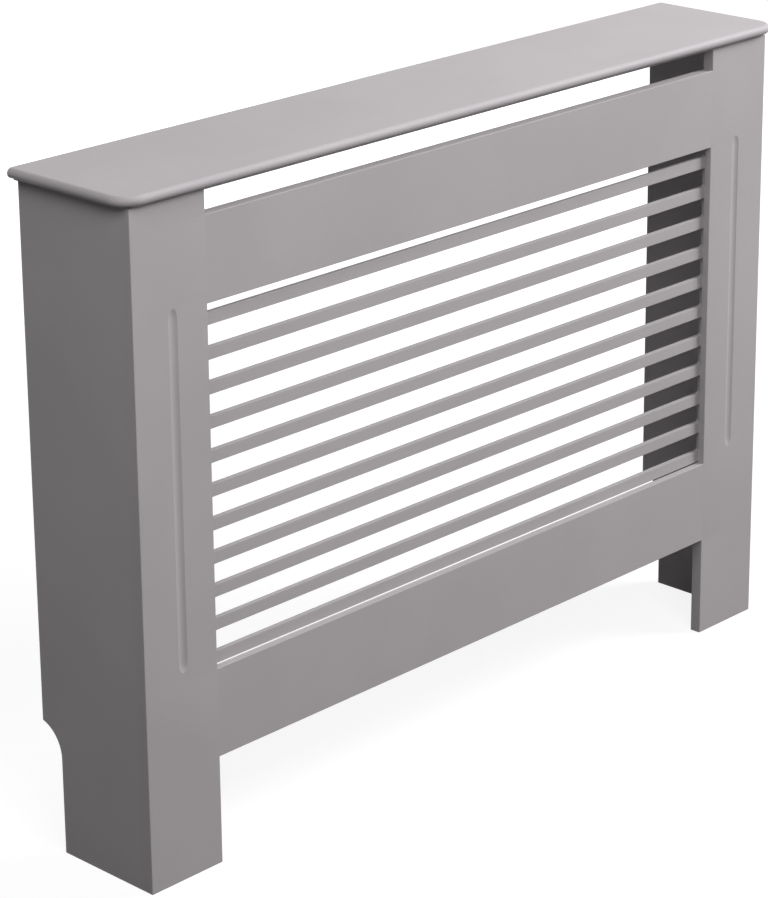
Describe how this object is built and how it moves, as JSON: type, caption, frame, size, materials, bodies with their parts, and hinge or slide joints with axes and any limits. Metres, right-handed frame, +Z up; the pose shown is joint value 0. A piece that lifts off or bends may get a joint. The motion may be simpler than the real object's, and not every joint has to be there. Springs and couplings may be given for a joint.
{
  "type": "radiator cover cabinet",
  "caption": "Painted MDF radiator cover: lid with a moulded edge, grooved stiles, horizontal slat grille, open back, skirting cut-outs.",
  "frame": {"origin": "middle of the cover's outside box, on the floor", "axes": "+X along the cover to the right as seen from the room, -Y towards the room, +Y to the wall, +Z up"},
  "size_m": [1.12, 0.19, 0.815],
  "materials": {
    "grey_paint_on_mdf": "satin paint on MDF",
    "cast_zinc": "die-cast zinc, dull",
    "zinc_plated_steel": "bright zinc plating",
    "beech_dowel": "bare beech"
  },
  "bodies": {
    "root": {"bottom_rail": "grey_paint_on_mdf", "grille_bottom_rail_screw": "zinc_plated_steel", "grille_top_rail_screw": "zinc_plated_steel", "left_bottom_rail_cam_bolt": "zinc_plated_steel", "left_bottom_rail_cam_lock": "cast_zinc", "left_bottom_rail_lower_dowel": "beech_dowel", "left_bottom_rail_upper_dowel": "beech_dowel", "left_bracket_screw": "zinc_plated_steel", "left_grille_lower_screw": "zinc_plated_steel", "left_grille_middle_screw": "zinc_plated_steel", "left_grille_upper_screw": "zinc_plated_steel", "left_lid_front_cam_bolt": "zinc_plated_steel", "left_lid_front_cam_lock": "cast_zinc", "left_lid_front_dowel": "beech_dowel", "left_lid_rear_cam_bolt": "zinc_plated_steel", "left_lid_rear_cam_lock": "cast_zinc", "left_lid_rear_dowel": "beech_dowel", "left_side_lower_cam_bolt": "zinc_plated_steel", "left_side_lower_cam_lock": "cast_zinc", "left_side_lower_dowel": "beech_dowel", "left_side_panel": "grey_paint_on_mdf", "left_side_upper_cam_bolt": "zinc_plated_steel", "left_side_upper_cam_lock": "cast_zinc", "left_side_upper_dowel": "beech_dowel", "left_stile": "grey_paint_on_mdf", "left_top_rail_cam_bolt": "zinc_plated_steel", "left_top_rail_cam_lock": "cast_zinc", "left_top_rail_lower_dowel": "beech_dowel", "left_top_rail_upper_dowel": "beech_dowel", "left_wall_bracket": "zinc_plated_steel", "lid": "grey_paint_on_mdf", "right_bottom_rail_cam_bolt": "zinc_plated_steel", "right_bottom_rail_cam_lock": "cast_zinc", "right_bottom_rail_lower_dowel": "beech_dowel", "right_bottom_rail_upper_dowel": "beech_dowel", "right_bracket_screw": "zinc_plated_steel", "right_grille_lower_screw": "zinc_plated_steel", "right_grille_middle_screw": "zinc_plated_steel", "right_grille_upper_screw": "zinc_plated_steel", "right_lid_front_cam_bolt": "zinc_plated_steel", "right_lid_front_cam_lock": "cast_zinc", "right_lid_front_dowel": "beech_dowel", "right_lid_rear_cam_bolt": "zinc_plated_steel", "right_lid_rear_cam_lock": "cast_zinc", "right_lid_rear_dowel": "beech_dowel", "right_side_lower_cam_bolt": "zinc_plated_steel", "right_side_lower_cam_lock": "cast_zinc", "right_side_lower_dowel": "beech_dowel", "right_side_panel": "grey_paint_on_mdf", "right_side_upper_cam_bolt": "zinc_plated_steel", "right_side_upper_cam_lock": "cast_zinc", "right_side_upper_dowel": "beech_dowel", "right_stile": "grey_paint_on_mdf", "right_top_rail_cam_bolt": "zinc_plated_steel", "right_top_rail_cam_lock": "cast_zinc", "right_top_rail_lower_dowel": "beech_dowel", "right_top_rail_upper_dowel": "beech_dowel", "right_wall_bracket": "zinc_plated_steel", "slatted_grille": "grey_paint_on_mdf", "top_rail": "grey_paint_on_mdf"}
  },
  "joints": []
}
